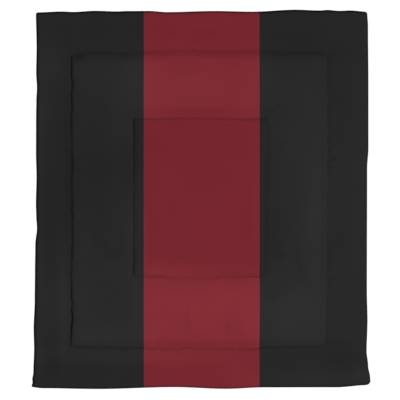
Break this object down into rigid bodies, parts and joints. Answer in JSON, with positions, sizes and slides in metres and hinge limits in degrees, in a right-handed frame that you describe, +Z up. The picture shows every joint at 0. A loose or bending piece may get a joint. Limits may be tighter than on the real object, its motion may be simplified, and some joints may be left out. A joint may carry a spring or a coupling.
{
  "type": "reversible comforter",
  "caption": "Filled bed comforter lying flat, quilted in nested stitched rectangles, with a knife edge, charcoal cloth and a wide dark red band down the middle of the face.",
  "frame": {"origin": "Under the middle of the comforter's outline, on the surface that it lies on.", "axes": "+Z up out of the face, +Y towards the head end, +X to the right as seen from above with the head end away."},
  "size_m": [1.9646, 2.1986, 0.0547],
  "materials": {
    "comforter_cloth": "brushed polyester cloth, matt, charcoal with a wide dark red band printed on the face"
  },
  "bodies": {
    "root": {"comforter": "comforter_cloth"}
  },
  "joints": []
}
